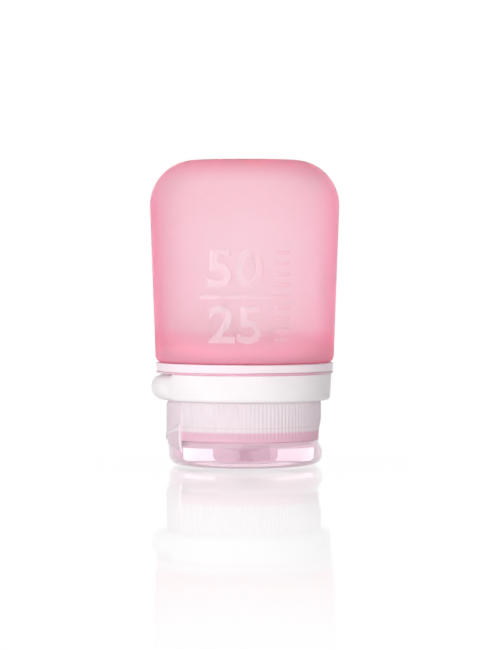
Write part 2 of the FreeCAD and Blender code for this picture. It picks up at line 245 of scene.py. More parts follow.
def object_axis(tree, axis):
    """Where a point lies along one of the object's axes."""
    place = add_node(tree, "ShaderNodeTexCoord")
    split = add_node(tree, "ShaderNodeSeparateXYZ")
    tree.links.new(place.outputs["Object"], split.inputs["Vector"])
    return split.outputs[axis]


print("node helpers ready")

# %% Colour
NOISE_LOW, NOISE_HIGH = 0.3, 0.7


def mottle(tree, shader, scale, deep, pale):
    """Base colour that drifts between two close tones."""
    ramp = add_node(tree, "ShaderNodeValToRGB")
    for stop, position, tone in zip(ramp.color_ramp.elements, (NOISE_LOW, NOISE_HIGH), (deep, pale)):
        stop.position = position
        stop.color = (*tone, 1)
    tree.links.new(object_noise(tree, scale), ramp.inputs["Fac"])
    tree.links.new(ramp.outputs["Color"], shader.inputs["Base Color"])


def colour_belt(finish, low, high, soft, colour, axis="Z"):
    """Turns the base colour to another one between two places on an axis, with soft edges."""
    tree, shader = finish.node_tree, shader_of(finish)
    place = object_axis(tree, axis)
    inside = add_node(tree, "ShaderNodeMath", operation="MULTIPLY")
    for k, (start, end) in enumerate(((low - soft, low + soft), (high + soft, high - soft))):
        edge = add_node(tree, "ShaderNodeMapRange", {"From Min": start, "From Max": end})
        tree.links.new(place, edge.inputs["Value"])
        tree.links.new(edge.outputs["Result"], inside.inputs[k])
    belt = add_node(tree, "ShaderNodeMixRGB", {"Color2": (*colour, 1)})
    tree.links.new(shader.inputs["Base Color"].links[0].from_socket, belt.inputs["Color1"])
    tree.links.new(inside.outputs["Value"], belt.inputs["Fac"])
    tree.links.new(belt.outputs["Color"], shader.inputs["Base Color"])


print("tones drift where the noise goes from", NOISE_LOW, "to", NOISE_HIGH)

# %% Gloss, grain and clearness
GRAIN_DETAIL = 2.0


def uneven_gloss(tree, shader, scale, low, high):
    """Roughness that drifts between two values."""
    spread = add_node(tree, "ShaderNodeMapRange", {
        "From Min": NOISE_LOW, "From Max": NOISE_HIGH, "To Min": low, "To Max": high})
    tree.links.new(object_noise(tree, scale), spread.inputs["Value"])
    tree.links.new(spread.outputs["Result"], shader.inputs["Roughness"])


def mould_grain(tree, shader, scale, strength, depth):
    """The fine texture that the mould leaves."""
    bump = add_node(tree, "ShaderNodeBump", {"Strength": strength, "Distance": depth})
    tree.links.new(object_noise(tree, scale, GRAIN_DETAIL), bump.inputs["Height"])
    tree.links.new(bump.outputs["Normal"], shader.inputs["Normal"])


def height_fade(tree, low, high, at_low, at_high):
    """A value that goes from one number to another with the height."""
    fade = add_node(tree, "ShaderNodeMapRange", {
        "From Min": low, "From Max": high, "To Min": at_low, "To Max": at_high},
        interpolation_type="SMOOTHSTEP")
    tree.links.new(object_axis(tree, "Z"), fade.inputs["Value"])
    return fade.outputs["Result"]


def let_light_through(tree, shader, share, density, tint):
    """Light passes the surface, and the stuff inside takes its colour from it on the way."""
    shader.inputs["Transmission Weight"].default_value = share
    if density:
        inside = add_node(tree, "ShaderNodeVolumeAbsorption", {"Color": (*tint, 1), "Density": density})
        output = tree.nodes["Material Output"]
        tree.links.new(inside.outputs["Volume"], output.inputs["Volume"])


print("finish helpers ready")

# %% [markdown]
# ### Pink silicone
# The body is pale where we look straight through its two walls and deep pink at its edges, where the
# line of sight runs along the wall. Painting that gradient would be wrong from every other side. Light
# that really passes the wall and is absorbed on its way gives it by itself, so the colour is in the
# volume and the surface only scatters.

# %% Silicone finishes
SILICONE_IOR = 1.22
SILICONE_CLOUDS, SILICONE_GLOSS, SILICONE_GRAIN = 180.0, 420.0, 2600.0
SILICONE_DRIFT, SILICONE_BUMP, SILICONE_BUMP_DEPTH = 0.04, 0.12, 0.05 * MM
CLEAR_SHARE = 0.9


def silicone_finish(name, deep, pale, share, rough, density=0.0, tint=(1, 1, 1)):
    """Soft silicone that lets light through."""
    finish, tree, shader = new_finish(name)
    mottle(tree, shader, SILICONE_CLOUDS, deep, pale)
    uneven_gloss(tree, shader, SILICONE_GLOSS, rough - SILICONE_DRIFT, rough + SILICONE_DRIFT)
    mould_grain(tree, shader, SILICONE_GRAIN, SILICONE_BUMP, SILICONE_BUMP_DEPTH)
    shader.inputs["IOR"].default_value = SILICONE_IOR
    let_light_through(tree, shader, share, density, tint)
    return finish


pink_silicone = silicone_finish(
    "pink_silicone", deep=(0.93, 0.91, 0.905), pale=(0.94, 0.935, 0.93), share=CLEAR_SHARE, rough=0.85,
    density=83.0, tint=(0.985, 0.15, 0.47))
relief_silicone = silicone_finish(
    "relief_silicone", deep=(0.96, 0.89, 0.915), pale=(0.98, 0.92, 0.94), share=0.72, rough=0.75,
    density=50.0, tint=(0.98, 0.36, 0.57))
lip_silicone = silicone_finish(
    "lip_silicone", deep=(0.95, 0.50, 0.64), pale=(0.97, 0.55, 0.68), share=0.15, rough=0.7)
clear_silicone = silicone_finish(
    "clear_silicone", deep=(0.93, 0.91, 0.92), pale=(0.97, 0.95, 0.96), share=0.6, rough=0.35,
    density=20.0, tint=(0.90, 0.86, 0.88))
print("silicone:", pink_silicone.name, relief_silicone.name, lip_silicone.name, clear_silicone.name)

# %% [markdown]
# ### White, frosted and clear plastics
# The collar is opaque white plastic with a satin mould finish, and the loop band is a softer, duller
# white. The cap and the neck are natural plastic, which is milky: part of the light is scattered back,
# part goes through. The lid is polished and clear; its pink is painted pink light from the pink body above
# it, in its base colour and in a faint tint that shows where it is thick.

# %% Plastic finishes
PLASTIC_CLOUDS, PLASTIC_GLOSS, PLASTIC_GRAIN = 140.0, 300.0, 1800.0
PLASTIC_BUMP_DEPTH = 0.04 * MM
GLOSSY_SHARE, DULL_SHARE = 0.85, 1.15
COAT_ROUGHNESS, COAT_IOR = 0.04, 1.8


def plastic_finish(
        name, deep, pale, rough, grain=0.05, share=0.0, density=0.0, tint=(1, 1, 1), ior=1.45, polish=0.0,
        gleam=0.5, belts=()):
    """Moulded plastic, opaque or milky or clear, with a polished skin and belts of colour if asked."""
    finish, tree, shader = new_finish(name)
    mottle(tree, shader, PLASTIC_CLOUDS, deep, pale)
    for belt in belts:
        colour_belt(finish, *belt)
    uneven_gloss(tree, shader, PLASTIC_GLOSS, rough * GLOSSY_SHARE, rough * DULL_SHARE)
    mould_grain(tree, shader, PLASTIC_GRAIN, grain, PLASTIC_BUMP_DEPTH)
    shader.inputs["IOR"].default_value = ior
    shader.inputs["Specular IOR Level"].default_value = gleam
    shader.inputs["Coat Weight"].default_value = polish
    shader.inputs["Coat Roughness"].default_value = COAT_ROUGHNESS
    shader.inputs["Coat IOR"].default_value = COAT_IOR
    let_light_through(tree, shader, share, density, tint)
    return finish


white_plastic = plastic_finish(
    "white_plastic", deep=(0.85, 0.74, 0.79), pale=(0.88, 0.775, 0.825), rough=0.36, gleam=0.3)
white_soft = plastic_finish(
    "white_soft", deep=(0.83, 0.795, 0.81), pale=(0.87, 0.835, 0.85), rough=0.5, grain=0.1, gleam=0.25)
natural_plastic = plastic_finish(
    "natural_plastic", deep=(0.90, 0.84, 0.87), pale=(0.94, 0.89, 0.92), rough=0.4, share=0.35, ior=1.2)
print("white and natural:", white_plastic.name, white_soft.name, natural_plastic.name)

# %% [markdown]
# ### Belts of colour on the cap and the lid
# Milky plastic takes on the tone of what lies behind it. The cap has a deep pink belt at its foot, a thin
# line above that and a warmer side at the hinge. The lid is paler at its rim, and that belt is a painted
# highlight. Getting the cap's tones from what is inside would need every hidden thickness. A belt of base
# colour needs only four things: where it starts and ends on an axis, how soft its edges are, and its tone.

# %% Finishes with belts
FOOT_BELT = (5.8 * MM, 8.5 * MM, 0.25 * MM, (0.97, 0.65, 0.77))
THIN_LINE = (9.45 * MM, 9.7 * MM, 0.12 * MM, (0.93, 0.80, 0.85))
HINGE_SIDE = (-40.0 * MM, -15.0 * MM, 0.3 * MM, (0.98, 0.865, 0.92), "X")
# A painted highlight along the top of the lid's wall.
LID_RIM_PAINTED_HIGHLIGHT = (4.8 * MM, 6.6 * MM, 0.25 * MM, (1.0, 0.83, 0.91))
HINGE_SHARE = 0.4

frosted_plastic = plastic_finish(
    "frosted_plastic", deep=(0.98, 0.885, 0.93), pale=(0.99, 0.92, 0.955), rough=0.6, grain=0.06,
    share=0.33, density=10.0, tint=(0.97, 0.5, 0.7), ior=1.25, gleam=0.25,
    belts=(FOOT_BELT, THIN_LINE, HINGE_SIDE))
hinge_plastic = plastic_finish(
    "hinge_plastic", deep=(0.90, 0.70, 0.79), pale=(0.92, 0.74, 0.83), rough=0.35, grain=0.03,
    share=HINGE_SHARE, ior=1.25, polish=0.6)
# The lid's pink base colour and pink tint are painted pink light from the pink body.
clear_plastic = plastic_finish(
    "clear_plastic", deep=(0.95, 0.74, 0.84), pale=(0.98, 0.78, 0.88), rough=0.2, grain=0.01,
    share=0.8, density=7.0, tint=(0.97, 0.40, 0.65), ior=1.15, polish=1.0, belts=(LID_RIM_PAINTED_HIGHLIGHT,))
print("milky and clear:", frosted_plastic.name, hinge_plastic.name, clear_plastic.name)

# %% [markdown]
# ## The soft body
# The body is one moulding: a wide cup with a generous rounding at its closed end, a shoulder, a neck that
# goes into the collar, and a thin lip that shows as a pink line under the collar. A sculpted cylinder
# would do for the outside alone. But light goes through this wall, so it needs a thickness, and the
# section that we spin runs up the outside and back down the inside. The wall is a little thicker than in
# the CAD model, inwards only, because the depth of its colour comes from it.

# %% Turn the body
SIDE_WALL = 2.5 * MM
END_WALL = 2.2 * MM
NECK_WALL = 2.0 * MM
BARREL_RADIUS = 15.7 * MM
END_ROUNDING = 10.9 * MM
SHOULDER_ROUNDING = 1.7 * MM
INNER_ROUNDING = 1.2 * MM
GUTTER_FLOOR = 1.0 * MM
SHOULDER_OVERHANG = 0.1 * MM
BODY_TAPER = math.tan(math.radians(2.07))
BODY_STEPS = 192

_, collar_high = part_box("collar_ring")
body_low, body_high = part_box("silicone_body")
neck_low, neck_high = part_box("neck_insert")
collar_radius = collar_high[0]
shoulder_z, end_z, lip_z = collar_high[2], body_high[2], body_low[2]
shoulder_radius = collar_radius + SHOULDER_OVERHANG
end_radius = shoulder_radius + (end_z - shoulder_z) * BODY_TAPER
neck_radius = BARREL_RADIUS + NECK_WALL

soft_body = turn_on_lathe("soft_body", [
    (0, end_z, 0),
    (end_radius, end_z, END_ROUNDING),
    (shoulder_radius, shoulder_z, SHOULDER_ROUNDING),
    (neck_radius, shoulder_z, 0),
    (neck_radius, lip_z, 0),
    (BARREL_RADIUS, lip_z, 0),
    (BARREL_RADIUS, neck_high[2], 0),
    (shoulder_radius - SIDE_WALL, shoulder_z + GUTTER_FLOOR, INNER_ROUNDING),
    (end_radius - END_WALL * BODY_TAPER - SIDE_WALL, end_z - END_WALL, END_ROUNDING - SIDE_WALL),
    (0, end_z - END_WALL, 0),
], full_turn(BODY_STEPS))

# %% [markdown]
# ### Deeper pink at both ends
# Towards the collar and at its closed end the body looks deeper and less clear. A thicker wall would do
# that too, but it would take room inside the bottle. So the base colour changes in two soft belts, and the
# share of light that goes through fades with the height.

# %% Deepen the shoulder and the closed end
SHOULDER_BELT = (0.0, 28.5 * MM, 4.5 * MM, (1.0, 0.40, 0.57))
END_BELT = (71.0 * MM, 90.0 * MM, 4.0 * MM, (1.0, 0.62, 0.73))
SHOULDER_FADE, SHOULDER_SHARE = (24.6 * MM, 32.0 * MM), 0.4
END_FADE, END_SHARE = (63.0 * MM, 72.5 * MM), 0.6

for belt in (SHOULDER_BELT, END_BELT):
    colour_belt(pink_silicone, *belt)
body_tree = pink_silicone.node_tree
smaller = add_node(body_tree, "ShaderNodeMath", operation="MINIMUM")
for k, fade in enumerate((
        height_fade(body_tree, *SHOULDER_FADE, SHOULDER_SHARE, CLEAR_SHARE),
        height_fade(body_tree, *END_FADE, CLEAR_SHARE, END_SHARE))):
    body_tree.links.new(fade, smaller.inputs[k])
body_tree.links.new(smaller.outputs["Value"], shader_of(pink_silicone).inputs["Transmission Weight"])
smooth_faces(soft_body)
settle(soft_body, "bottle", "pink_silicone", pink_silicone, "silicone_body")
print("light through the wall, from the shoulder up:", SHOULDER_SHARE, CLEAR_SHARE, END_SHARE)

# %% [markdown]
# ### The pink line under the collar
# The lip is pressed between two rings that let no light in, so it shows its own full colour. As part of
# the body's mesh it would stay dark. It is a thin ring of its own, with a denser finish that pales towards
# both sides, where the line fades out.

# %% Turn the lip
LIP_THICKNESS = 0.5 * MM
LIP_EDGE = LIP_THICKNESS / 8
LIP_RECESS, LIP_GAP = 0.03 * MM, 0.05 * MM
BAND_LIFT = 0.2 * MM
LIP_END, LIP_FADE, LIP_END_PINK = 17.6 * MM, 1.6 * MM, (0.96, 0.72, 0.80)

loop_low, loop_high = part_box("loop_band")
band_top = loop_high[2] + BAND_LIFT
lip_foot, lip_head = band_top + LIP_GAP, lip_z + LIP_THICKNESS
lip_ring = turn_on_lathe("lip_ring", [
    (neck_radius + WELD, lip_foot, 0),
    (collar_radius - LIP_RECESS, lip_foot, LIP_EDGE),
    (collar_radius - LIP_RECESS, lip_head, LIP_EDGE),
    (neck_radius + WELD, lip_head, 0),
])
for low, high in ((LIP_END, 2 * LIP_END), (-2 * LIP_END, -LIP_END)):
    colour_belt(lip_silicone, low, high, LIP_FADE, LIP_END_PINK, "X")
smooth_faces(lip_ring)
settle(lip_ring, "bottle", "pink_silicone", lip_silicone)

# %% [markdown]
# ## Raised graduation
# The front of the body carries raised figures with a rule between them. Ours are plain graduation
# numbers. Type could be painted with a mask, but the real figures stand proud of the wall and catch the
# light on their edges. So the text becomes a mesh, is cut into narrow strips so that it can curve, is
# projected onto the wall, and then gets its thickness and soft edges.

# %% Lay a flat mark on the curved wall
RELIEF_HEIGHT, RELIEF_EDGE = 0.32 * MM, 0.1 * MM
STRIP = 0.6 * MM
FRONT = -40 * MM


def wrap_on_body(mark):
    """Cuts a flat upright mark into strips, lays it on the body's front and thickens it outwards."""
    xs = [corner.co.x for corner in mark.data.vertices]
    select_only(mark)
    bpy.ops.object.mode_set(mode="EDIT")
    for k in range(1, int((max(xs) - min(xs)) / STRIP) + 1):
        bpy.ops.mesh.select_all(action="SELECT")
        bpy.ops.mesh.bisect(plane_co=(min(xs) + k * STRIP, 0, 0), plane_no=(1, 0, 0))
    bpy.ops.object.mode_set(mode="OBJECT")
    apply_modifier(
        mark, "SHRINKWRAP", target=soft_body, wrap_method="PROJECT", use_project_y=True,
        use_project_x=False, use_project_z=False, use_positive_direction=True)
    apply_modifier(mark, "SOLIDIFY", thickness=RELIEF_HEIGHT, offset=1.0)
    apply_modifier(mark, "BEVEL", width=RELIEF_EDGE, segments=2, limit_method="ANGLE")
    smooth_faces(mark, SOFT_ANGLE)
    settle(mark, "bottle", "pink_silicone", relief_silicone)
    return mark


print("marks stand", RELIEF_HEIGHT / MM, "mm proud of the wall")

# %% Make figures and bars
STROKE_GROWTH, FIGURE_ARC_STEPS = 0.02, 6


def raised_figures(name, figures, left, right, low, high):
    """Figures as a flat mesh that fills the given box in front of the body."""
    bpy.ops.object.select_all(action="DESELECT")
    bpy.ops.object.text_add(location=(0, FRONT, 0), rotation=(math.pi / 2, 0, 0))
    text = bpy.context.object
    text.name = name
    text.data.body = figures
    text.data.offset = STROKE_GROWTH
    text.data.resolution_u = FIGURE_ARC_STEPS
    bpy.ops.object.convert(target="MESH")
    bpy.ops.object.transform_apply(location=True, rotation=True, scale=True)
    xs = [corner.co.x for corner in text.data.vertices]
    zs = [corner.co.z for corner in text.data.vertices]
    bpy.ops.object.mode_set(mode="EDIT")
    bpy.ops.mesh.select_all(action="SELECT")
    bpy.ops.mesh.remove_doubles(threshold=WELD)
    bpy.ops.transform.translate(value=(-min(xs), 0, -min(zs)))
    bpy.ops.transform.resize(
        value=((right - left) / (max(xs) - min(xs)), 1, (high - low) / (max(zs) - min(zs))),
        center_override=(0, 0, 0))
    bpy.ops.transform.translate(value=(left, 0, low))
    bpy.ops.object.mode_set(mode="OBJECT")
    return wrap_on_body(text)


def raised_bar(name, left, right, low, high):
    """A straight raised bar on the body's front."""
    bpy.ops.object.select_all(action="DESELECT")
    bpy.ops.mesh.primitive_plane_add(
        size=1, location=((left + right) / 2, FRONT, (low + high) / 2), rotation=(math.pi / 2, 0, 0))
    bar = bpy.context.object
    bar.name = name
    bar.scale = (right - left, high - low, 1)
    bpy.ops.object.transform_apply(location=True, rotation=True, scale=True)
    return wrap_on_body(bar)


print("figures swell by", STROKE_GROWTH, "of their type size")

# %% Place the graduation
RELIEF_RIGHT_PAINTED_SHADE = (6.0 * MM, 40.0 * MM, 7.0 * MM, (0.96, 0.78, 0.83), "X")
UPPER_BOX = (-8.7 * MM, 4.3 * MM, 42.6 * MM, 51.6 * MM)
LOWER_BOX = (-8.5 * MM, 4.0 * MM, 29.6 * MM, 38.5 * MM)
RULE_BOX = (-10.4 * MM, 10.5 * MM, 40.1 * MM, 41.0 * MM)
TICKS, TICK_PITCH, TICK_HEIGHT = 4, 2.5 * MM, 0.8 * MM
TICK_LEFT, TICK_RIGHT = 7.0 * MM, 10.4 * MM
UPPER_TICKS, LOWER_TICKS = 42.9 * MM, 30.0 * MM

# Towards the right the marks take a deeper pink: painted shade, as the light falls on them from the left.
colour_belt(relief_silicone, *RELIEF_RIGHT_PAINTED_SHADE)
raised_figures("figures_upper", "50", *UPPER_BOX)
raised_figures("figures_lower", "25", *LOWER_BOX)
raised_bar("figures_rule", *RULE_BOX)
for row, base in (("upper", UPPER_TICKS), ("lower", LOWER_TICKS)):
    for k in range(TICKS):
        tick_z = base + k * TICK_PITCH
        raised_bar(f"tick_{row}_{k + 1}", TICK_LEFT, TICK_RIGHT, tick_z, tick_z + TICK_HEIGHT)
print("relief:", 3 + 2 * TICKS, "raised marks")

# %% [markdown]
# ## White collar and natural plastic inside
# The collar is a plain turned ring, the neck a threaded sleeve, and the valve's retainer a small ring.
# They could be turned again here, but their CAD meshes already have the right shape. So they only get a
# finish.

# %% Finish the CAD pieces that stay
CAD_FINISHES = {
    "collar_ring": white_plastic, "neck_insert": natural_plastic, "valve_retainer": natural_plastic}
for node, finish in CAD_FINISHES.items():
    kept = frame["nodes"][node]
    kept.data.materials.clear()
    kept.data.materials.append(finish)
    print(node, "keeps its CAD mesh:", len(kept.data.polygons), "triangles")

# %% [markdown]
# ## The loop band and its pull tab
# A soft band sits in the groove under the collar, and on the hinge side it swells into a rounded tab that
# a finger can pull. A ring and a separate knob joined by a boolean would leave a hard crease. We turn the
# ring with many rows in its outer wall and then move that wall outwards, so the tab grows out of it.

# %% Turn the band
LOOP_INNER = 17.6 * MM
LOOP_REBATE = 0.6 * MM
LOOP_LOW_ROUNDING = 1.0 * MM
LOOP_TOP_ROUNDING = 0.2 * MM
LOOP_DRAFT = 0.25 * MM
BAND_FOOT_MARGIN, BAND_TOP_MARGIN = 1.3 * MM, 0.6 * MM
BAND_ROWS, BAND_STEPS = 14, 240

loop_radius = loop_high[0]
rebate_radius = LOOP_INNER + 2 * LOOP_REBATE / 3
wall_foot = (loop_radius - LOOP_DRAFT, loop_low[2] + BAND_FOOT_MARGIN)
wall_head = (loop_radius, band_top - BAND_TOP_MARGIN)
band = turn_on_lathe("band", [
    (rebate_radius, loop_low[2], 0),
    (loop_radius - LOOP_DRAFT, loop_low[2], LOOP_LOW_ROUNDING),
    *split_run(wall_foot, wall_head, BAND_ROWS),
    (loop_radius, band_top, LOOP_TOP_ROUNDING),
    (LOOP_INNER, band_top, 0),
    (LOOP_INNER, loop_low[2] + LOOP_REBATE, 0),
    (rebate_radius, loop_low[2] + LOOP_REBATE, 0),
], full_turn(BAND_STEPS))

# %% Swell its tab
TAB_BOW = 14.4 * MM
TAB_ANGLE, TAB_EASE = 30.0, 5.0

tab_reach = -loop_low[0]
tab_round = (loop_high[2] - loop_low[2]) / 2
tab_z = (loop_high[2] + loop_low[2]) / 2
bow_axis = TAB_BOW - tab_reach


def tab_wall(radius, angle, height):
    """The band's outer wall, swollen into a half-round nose about -X."""
    if radius < loop_radius - 2 * LOOP_LOW_ROUNDING:
        return radius
    turn = math.radians(180 - abs(angle))
    across, along = bow_axis * math.sin(turn), bow_axis * math.cos(turn)
    reach = math.sqrt(max(TAB_BOW ** 2 - across ** 2, 0)) - along
    off = min(abs(height - tab_z), tab_round)
    nose = reach - tab_round + math.sqrt(tab_round ** 2 - off ** 2)
    share = ease(math.degrees(turn), TAB_ANGLE + TAB_EASE, TAB_ANGLE - 2 * TAB_EASE)
    return radius + share * (nose - radius)


shape_wall(band, tab_wall)
smooth_faces(band, SOFT_ANGLE)
settle(band, "loop", "white_soft", white_soft, "loop_band")
print("the tab reaches", round(tab_reach / MM, 2), "mm from the axis")

# %% [markdown]
# ## The ribbed cap
# The screw cap is one moulding: skirt, deck, spout and the rim that the lid snaps over. Its ribs could be
# an array of small blocks, but blocks meet the wall in a hard line. Here the section is spun in sectors
# with finer steps where the ribs are, so that each rib gets the same points, and the wall is then moved
# out into rounded ribs and smooth pads, and in at the thumb recess.

# %% Sizes of the cap
SKIRT_WALL, RIB_HEIGHT = 1.45 * MM, 0.35 * MM
DECK_THICKNESS = 1.4 * MM
DECK_RECESS = 0.6 * MM
SNAP_RIM_DEPTH = 1.4 * MM
SNAP_RIM_WALL = 1.0 * MM
SNAP_RIM_GAP = 0.35 * MM
LID_WALL, LID_OFFSET = 1.25 * MM, 0.25 * MM
SPOUT_BORE, SPOUT_WALL = 2.6 * MM, 1.6 * MM
STATIC_FIT = 0.05 * MM
SEAM_GAP, TOP_GAP = 0.04 * MM, 0.01 * MM

cap_low, cap_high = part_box("cap_base")
valve_low, valve_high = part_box("drip_valve")
_, lid_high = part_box("flip_lid")
skirt_radius = cap_high[1] - RIB_HEIGHT
skirt_inner = skirt_radius - SKIRT_WALL
cap_z, cap_top = lid_high[2] + SEAM_GAP, loop_low[2] - TOP_GAP
deck_z, deck_top = cap_z + DECK_RECESS, cap_z + DECK_RECESS + DECK_THICKNESS
spout_radius = SPOUT_BORE + SPOUT_WALL
pocket_radius = valve_high[0] + STATIC_FIT
snap_rim = lid_high[1] - LID_WALL - LID_OFFSET - SNAP_RIM_GAP
print("skirt radius mm:", round(skirt_radius / MM, 2), "from z mm", round(cap_z / MM, 2))

# %% Turn the cap
RIBS, RIB_STEPS = 36, 6
HINGE_PAD, HINGE_PAD_STEPS = 37.0, 74
THUMB_PAD, THUMB_PAD_STEPS = 33.0, 33
POCKET_WALL, POCKET_DEPTH = 1.2 * MM, 2.1 * MM
CAP_EDGE, DECK_EDGE, FINE_EDGE = 0.35 * MM, 0.3 * MM, 0.2 * MM
CAP_FOOT_MARGIN, CAP_TOP_MARGIN, CAP_ROWS = 0.3 * MM, 0.5 * MM, 26

rib_sector = 180.0 - HINGE_PAD - THUMB_PAD
wall_foot = (skirt_radius, cap_z + CAP_FOOT_MARGIN)
wall_head = (skirt_radius, cap_top - CAP_TOP_MARGIN)
cap_shell = turn_on_lathe("cap_shell", [
    (SPOUT_BORE, cap_low[2], FINE_EDGE),
    (spout_radius, cap_low[2], DECK_EDGE),
    (spout_radius, deck_z, DECK_EDGE),
    (snap_rim - SNAP_RIM_WALL, deck_z, DECK_EDGE),
    (snap_rim - SNAP_RIM_WALL, cap_z - SNAP_RIM_DEPTH, FINE_EDGE),
    (snap_rim, cap_z - SNAP_RIM_DEPTH, DECK_EDGE),
    (snap_rim, cap_z, 0),
    (skirt_radius, cap_z, CAP_EDGE / 2),
    *split_run(wall_foot, wall_head, CAP_ROWS),
    (skirt_radius, cap_top, CAP_EDGE / 2),
    (skirt_inner, cap_top, CAP_EDGE),
    (skirt_inner, deck_top, CAP_EDGE),
    (pocket_radius + POCKET_WALL, deck_top, CAP_EDGE),
    (pocket_radius + POCKET_WALL, deck_top + POCKET_DEPTH, CAP_EDGE / 2),
    (pocket_radius, deck_top + POCKET_DEPTH, 0),
    (pocket_radius, deck_top, 0),
    (SPOUT_BORE, deck_top, 0),
], (
    (THUMB_PAD, THUMB_PAD_STEPS), (rib_sector, RIBS * RIB_STEPS), (2 * HINGE_PAD, HINGE_PAD_STEPS),
    (rib_sector, RIBS * RIB_STEPS), (THUMB_PAD, THUMB_PAD_STEPS)))

# %% [markdown]
# ### Ribs, pads and the thumb recess
# The recess is a shallow scallop shared by the cap and the lid: its floor is part of a larger circle that
# runs out on both sides, and it gets shallower upwards and downwards.

# %% The surface of the recess
THUMB_PAD_HEIGHT = 0.12 * MM
RECESS_DEPTH = 0.6 * MM
RECESS_ANGLE = math.radians(28.0)
RECESS_CENTRE = 0.3 * MM
RECESS_RISE = 5.6 * MM
RECESS_FALL = 2.9 * MM
RECESS_FLARE = 1.0 * MM

thumb_radius = skirt_radius + THUMB_PAD_HEIGHT
recess_floor = thumb_radius - RECESS_DEPTH
meet_x = thumb_radius * math.cos(RECESS_ANGLE)
recess_back = (thumb_radius ** 2 - recess_floor ** 2) / (2 * (recess_floor - meet_x))


def recess_radius(angle, height):
    """Radius of the thumb recess's surface about the cap's axis."""
    off = height - cap_z - RECESS_CENTRE
    share = off / (RECESS_RISE if off > 0 else RECESS_FALL)
    circle = recess_floor + recess_back + RECESS_FLARE * share * share
    turn = math.radians(angle)
    across, along = recess_back * math.sin(turn), recess_back * math.cos(turn)
    return math.sqrt(max(circle ** 2 - across ** 2, 0)) - along


print("recess depth mm:", round(RECESS_DEPTH / MM, 2))

# %% Shape the cap's outer wall
RIB_SWELL, RIB_END = 0.13 * MM, 0.45 * MM
RIB_LOW_MARGIN, RIB_TOP_MARGIN = 0.85 * MM, 0.5 * MM
RIB_ROOT_SHARE, RIB_CREST_SHARE = 0.5, 0.0
HINGE_PAD_HEIGHT = 0.55 * MM
PAD_OUTSIDE, PAD_INSIDE = 0.3, 1.4

rib_pitch = rib_sector / RIBS


def cap_wall(radius, angle, height):
    """The skirt's outer wall with its ribs, its two pads and the thumb recess."""
    if radius < skirt_radius - CAP_EDGE or height < cap_z - WELD:
        return radius
    side = abs(angle)
    upper = ease(height, cap_top - RIB_TOP_MARGIN, cap_top - RIB_TOP_MARGIN - RIB_END)
    pad_edge = 180 - HINGE_PAD
    hinge = HINGE_PAD_HEIGHT * upper * ease(side, pad_edge - PAD_OUTSIDE, pad_edge + PAD_INSIDE)
    thumb = THUMB_PAD_HEIGHT * upper * ease(side, THUMB_PAD + PAD_OUTSIDE, THUMB_PAD - PAD_INSIDE)
    lower = ease(height, cap_z + RIB_LOW_MARGIN, cap_z + RIB_LOW_MARGIN + RIB_END)
    rib = 0.0
    if THUMB_PAD < side < pad_edge:
        phase = abs((side - THUMB_PAD) / rib_pitch % 1.0 - 0.5)
        rib = RIB_SWELL * upper * lower * ease(phase, RIB_ROOT_SHARE, RIB_CREST_SHARE)
    wall = radius + max(hinge, thumb, rib)
    if side < 90:
        wall = min(wall, recess_radius(angle, height))
    return wall


shape_wall(cap_shell, cap_wall)
print("cap wall:", 2 * RIBS, "ribs,", round(RIB_SWELL / MM, 2), "mm high")

# %% [markdown]
# ### Thread inside the cap
# The cap's thread is a low ridge that winds up the inside of the skirt, half a pitch away from the neck's.
# It could be spun a few degrees at a time and lifted by hand. A Screw modifier does both at once: it takes
# the small section, turns it and raises it, and we only have to close its two ends before it is united
# with the wall.

# %% Wind the ridge and unite it with the cap
THREAD_PITCH, THREAD_LEAD = 3.0 * MM, 0.5 * MM
NECK_RIDGE_BASE = 1.6 * MM
RIDGE_DEPTH, RIDGE_BASE, RIDGE_CREST = 1.0 * MM, 1.2 * MM, 0.6 * MM
RIDGE_ROOT = 0.3 * MM
RIDGE_STEPS = 120

ridge_low = neck_low[2] + THREAD_LEAD + RIDGE_BASE / 2
ridge_rise = cap_top - THREAD_LEAD - RIDGE_BASE / 2 - ridge_low
phase_z = neck_low[2] + THREAD_LEAD + (NECK_RIDGE_BASE + THREAD_PITCH) / 2
ridge_start = math.tau * (ridge_low - phase_z) / THREAD_PITCH
root_half = RIDGE_BASE / 2 + RIDGE_ROOT * (RIDGE_BASE - RIDGE_CREST) / 2 / RIDGE_DEPTH

bpy.ops.object.select_all(action="DESELECT")
bpy.ops.mesh.primitive_plane_add(size=MM)
ridge = bpy.context.object
for vertex in ridge.data.vertices:
    at_crest = vertex.co.x < 0
    radius = skirt_inner - RIDGE_DEPTH if at_crest else skirt_inner + RIDGE_ROOT
    half = RIDGE_CREST / 2 if at_crest else root_half
    vertex.co = (
        radius * math.cos(ridge_start), radius * math.sin(ridge_start),
        ridge_low + math.copysign(half, vertex.co.y))
bpy.ops.object.mode_set(mode="EDIT")
bpy.ops.mesh.delete(type="ONLY_FACE")
bpy.ops.object.mode_set(mode="OBJECT")
apply_modifier(
    ridge, "SCREW", axis="Z", angle=math.tau * ridge_rise / THREAD_PITCH, screw_offset=ridge_rise,
    steps=RIDGE_STEPS, render_steps=RIDGE_STEPS)
bpy.ops.object.mode_set(mode="EDIT")
bpy.ops.mesh.select_all(action="SELECT")
bpy.ops.mesh.fill_holes(sides=4)
bpy.ops.mesh.select_all(action="SELECT")
bpy.ops.mesh.normals_make_consistent(inside=False)
bpy.ops.object.mode_set(mode="OBJECT")
print("ridge:", len(ridge.data.polygons), "faces,", round(ridge_rise / THREAD_PITCH, 2), "turns")
apply_modifier(cap_shell, "BOOLEAN", object=ridge, operation="UNION", solver="EXACT")
bpy.data.objects.remove(ridge)

# %% [markdown]
# ## The clear lid
# The lid is a shallow cup, a little off the cap's axis towards the thumb, with a hollow plug that stops
# the spout and a small lug where the hinge holds it. The cup is turned, the recess is pressed into its
# wall as it was into the cap's, and the plug is a second turned piece joined to it.

